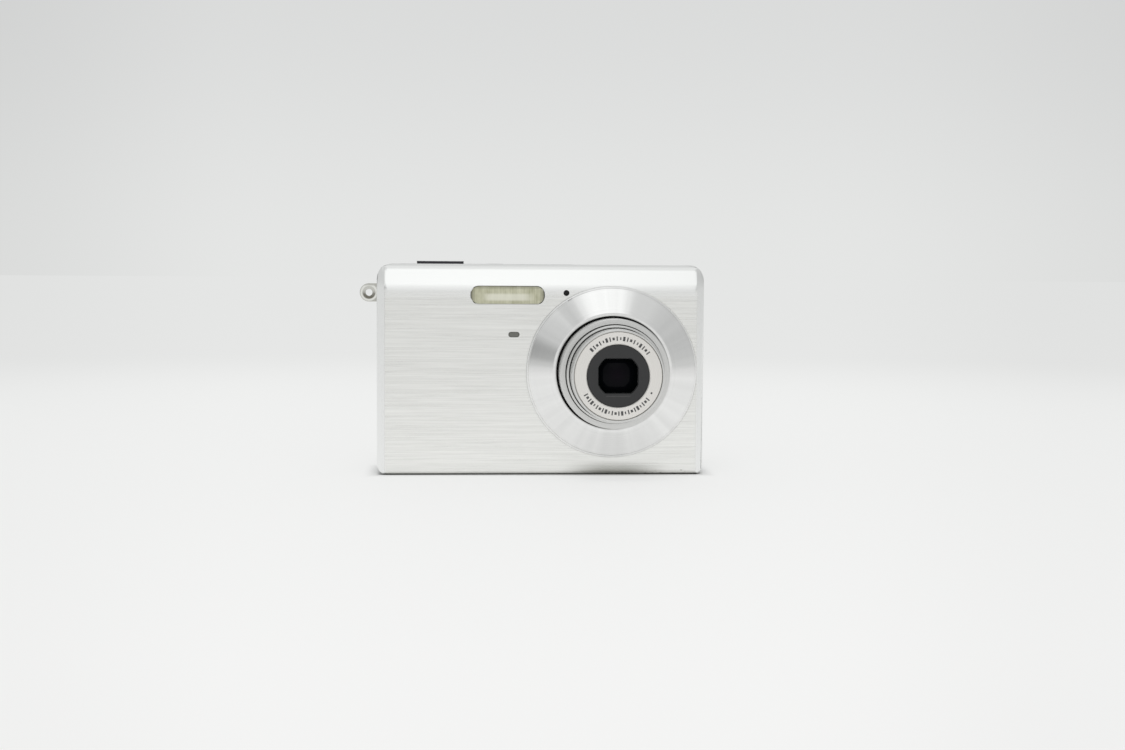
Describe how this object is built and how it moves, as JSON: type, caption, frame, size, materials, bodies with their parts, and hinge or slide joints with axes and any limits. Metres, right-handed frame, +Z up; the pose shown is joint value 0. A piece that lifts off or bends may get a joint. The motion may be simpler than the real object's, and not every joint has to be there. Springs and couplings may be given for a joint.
{
  "type": "compact digital camera",
  "caption": "Card-size compact digital camera with a telescoping zoom lens, rear screen and keys, battery door and port cover.",
  "frame": {"origin": "middle of the body's bottom face, on the surface the camera stands on", "axes": "+X to the right seen from the front, +Y from the lens towards the screen, +Z up"},
  "size_m": [0.0942, 0.0387, 0.0578],
  "materials": {
    "front_steel": "brushed sheet, fine level grain",
    "cover_silver": "silver paint, satin",
    "ring_aluminium": "turned, bright",
    "barrel_silver": "silver, satin",
    "chrome": "polished",
    "key_silver": "silver, semi-gloss",
    "black_plastic": "black, matt",
    "grey_plastic": "dark grey, semi-gloss",
    "seal_rubber": "felt-like, matt",
    "lens_glass": "coated",
    "flash_clear": "clear, ribbed, warm",
    "screen_glass": "clear, hard coated",
    "circuit_board": "green solder mask",
    "brass": "machined",
    "cell_can": "lithium cell in its sleeve"
  },
  "bodies": {
    "body": {"front_cover": "front_steel", "rear_cover": "cover_silver", "left_side_trim": "cover_silver", "right_side_trim": "cover_silver", "lens_ring": "ring_aluminium", "lens_seal": "seal_rubber", "flash_window": "flash_clear", "flash_reflector": "chrome", "flash_tube": "lens_glass", "front_lamp_lens": "grey_plastic", "microphone": "black_plastic", "strap_lug": "chrome", "usb_port": "chrome", "status_lamp": "flash_clear", "key_board": "circuit_board", "lcd_window": "screen_glass", "lcd_module": "grey_plastic", "top_switch_board": "circuit_board", "speaker": "black_plastic", "battery_case": "black_plastic", "battery": "cell_can", "memory_card": "grey_plastic", "door_hinge_pin": "brass", "tripod_bush": "brass", "base_screw_1": "chrome", "base_screw_2": "chrome", "side_screw": "chrome", "main_board": "circuit_board", "flash_board": "circuit_board", "flash_capacitor": "black_plastic", "lens_housing": "black_plastic", "zoom_motor": "chrome", "image_sensor": "circuit_board"},
    "cam_ring": {"cam_ring": "brass"},
    "outer_barrel": {"barrel_outer": "barrel_silver"},
    "middle_barrel": {"barrel_mid": "barrel_silver", "zoom_lens_group": "black_plastic"},
    "front_barrel": {"barrel_front": "barrel_silver", "name_ring": "barrel_silver", "barrier_plate": "black_plastic", "front_lens_group": "lens_glass"},
    "blade_upper_inner": {"barrier_blade_upper_inner": "black_plastic"},
    "blade_upper_outer": {"barrier_blade_upper_outer": "black_plastic"},
    "blade_lower_inner": {"barrier_blade_lower_inner": "black_plastic"},
    "blade_lower_outer": {"barrier_blade_lower_outer": "black_plastic"},
    "focus_lens": {"focus_lens": "lens_glass"},
    "shutter_button": {"shutter_button": "chrome"},
    "power_button": {"power_button": "key_silver"},
    "zoom_rocker": {"zoom_rocker": "key_silver"},
    "play_button": {"play_button": "key_silver"},
    "rec_button": {"rec_button": "key_silver"},
    "menu_button": {"menu_button": "key_silver"},
    "scene_button": {"scene_button": "key_silver"},
    "pad_carrier": {"pad_carrier": "black_plastic"},
    "control_pad": {"control_pad": "key_silver"},
    "set_button": {"set_button": "key_silver"},
    "battery_door": {"battery_door": "cover_silver"},
    "door_latch": {"door_latch": "black_plastic"},
    "battery_latch": {"battery_latch": "brass"},
    "port_cover": {"port_cover": "cover_silver"}
  },
  "joints": [
    {"name": "lens_zoom", "type": "slide", "parent": "body", "child": "outer_barrel", "axis": [0, 1, 0], "range_m": [0, 0.0064]},
    {"name": "middle_barrel_slide", "type": "slide", "parent": "outer_barrel", "child": "middle_barrel", "axis": [0, 1, 0], "range_m": [0, 0.0026]},
    {"name": "front_barrel_slide", "type": "slide", "parent": "middle_barrel", "child": "front_barrel", "axis": [0, 1, 0], "range_m": [0, 0.0052]},
    {"name": "cam_ring_turn", "type": "hinge", "parent": "body", "child": "cam_ring", "pos_m": [0.019, -0.004, 0.028], "axis": [0, 1, 0], "range_deg": [0, 90]},
    {"name": "blade_upper_inner_turn", "type": "hinge", "parent": "front_barrel", "child": "blade_upper_inner", "pos_m": [0.01, -0.027, 0.028], "axis": [0, 1, 0], "range_deg": [0, 40.5]},
    {"name": "blade_upper_outer_turn", "type": "hinge", "parent": "front_barrel", "child": "blade_upper_outer", "pos_m": [0.01, -0.0264, 0.028], "axis": [0, 1, 0], "range_deg": [0, 25.5]},
    {"name": "blade_lower_inner_turn", "type": "hinge", "parent": "front_barrel", "child": "blade_lower_inner", "pos_m": [0.028, -0.027, 0.028], "axis": [0, 1, 0], "range_deg": [0, 40.5]},
    {"name": "blade_lower_outer_turn", "type": "hinge", "parent": "front_barrel", "child": "blade_lower_outer", "pos_m": [0.028, -0.0264, 0.028], "axis": [0, 1, 0], "range_deg": [0, 25.5]},
    {"name": "focus_slide", "type": "slide", "parent": "body", "child": "focus_lens", "axis": [0, 1, 0], "range_m": [-0.0007, 0.0005]},
    {"name": "shutter_press", "type": "slide", "parent": "body", "child": "shutter_button", "axis": [0, 0, -1], "range_m": [0, 0.0005], "stiffness_N_per_m": 200},
    {"name": "power_press", "type": "slide", "parent": "body", "child": "power_button", "axis": [0, 0, -1], "range_m": [0, 0.00035], "stiffness_N_per_m": 200},
    {"name": "zoom_rocker_tilt", "type": "hinge", "parent": "body", "child": "zoom_rocker", "pos_m": [-0.03, 0.0095, 0.0486], "axis": [0, 0, 1], "range_deg": [-2.5, 2.5], "stiffness_Nm_per_rad": 0.05},
    {"name": "play_button_press", "type": "slide", "parent": "body", "child": "play_button", "axis": [0, -1, 0], "range_m": [0, 0.0003], "stiffness_N_per_m": 200},
    {"name": "rec_button_press", "type": "slide", "parent": "body", "child": "rec_button", "axis": [0, -1, 0], "range_m": [0, 0.0003], "stiffness_N_per_m": 200},
    {"name": "menu_button_press", "type": "slide", "parent": "body", "child": "menu_button", "axis": [0, -1, 0], "range_m": [0, 0.0003], "stiffness_N_per_m": 200},
    {"name": "scene_button_press", "type": "slide", "parent": "body", "child": "scene_button", "axis": [0, -1, 0], "range_m": [0, 0.0003], "stiffness_N_per_m": 200},
    {"name": "pad_tilt_up_down", "type": "hinge", "parent": "body", "child": "pad_carrier", "pos_m": [-0.03, 0.009, 0.026], "axis": [1, 0, 0], "range_deg": [-1.7, 1.7], "stiffness_Nm_per_rad": 0.05},
    {"name": "pad_tilt_left_right", "type": "hinge", "parent": "pad_carrier", "child": "control_pad", "pos_m": [-0.03, 0.009, 0.026], "axis": [0, 0, 1], "range_deg": [-1.7, 1.7], "stiffness_Nm_per_rad": 0.05},
    {"name": "set_button_press", "type": "slide", "parent": "body", "child": "set_button", "axis": [0, -1, 0], "range_m": [0, 0.0003], "stiffness_N_per_m": 200},
    {"name": "battery_door_hinge", "type": "hinge", "parent": "body", "child": "battery_door", "pos_m": [-0.0237, 0.0047, 0.0006], "axis": [1, 0, 0], "range_deg": [0, 95]},
    {"name": "door_latch_slide", "type": "slide", "parent": "battery_door", "child": "door_latch", "axis": [-1, 0, 0], "range_m": [0, 0.002], "stiffness_N_per_m": 60},
    {"name": "battery_latch_slide", "type": "slide", "parent": "body", "child": "battery_latch", "axis": [0, -1, 0], "range_m": [0, 0.001], "stiffness_N_per_m": 200},
    {"name": "port_cover_hinge", "type": "hinge", "parent": "body", "child": "port_cover", "pos_m": [0.04475, 0.004, 0.04], "axis": [0, 0, 1], "range_deg": [0, 100]}
  ],
  "couplings": [
    {"joint": "middle_barrel_slide", "follows": "lens_zoom", "ratio": 0.4},
    {"joint": "front_barrel_slide", "follows": "lens_zoom", "ratio": 0.8},
    {"joint": "cam_ring_turn", "follows": "lens_zoom", "rad_per_m": 245},
    {"joint": "blade_upper_inner_turn", "follows": "lens_zoom", "rad_per_m": 110},
    {"joint": "blade_upper_outer_turn", "follows": "lens_zoom", "rad_per_m": 69.4},
    {"joint": "blade_lower_inner_turn", "follows": "lens_zoom", "rad_per_m": 110},
    {"joint": "blade_lower_outer_turn", "follows": "lens_zoom", "rad_per_m": 69.4}
  ]
}
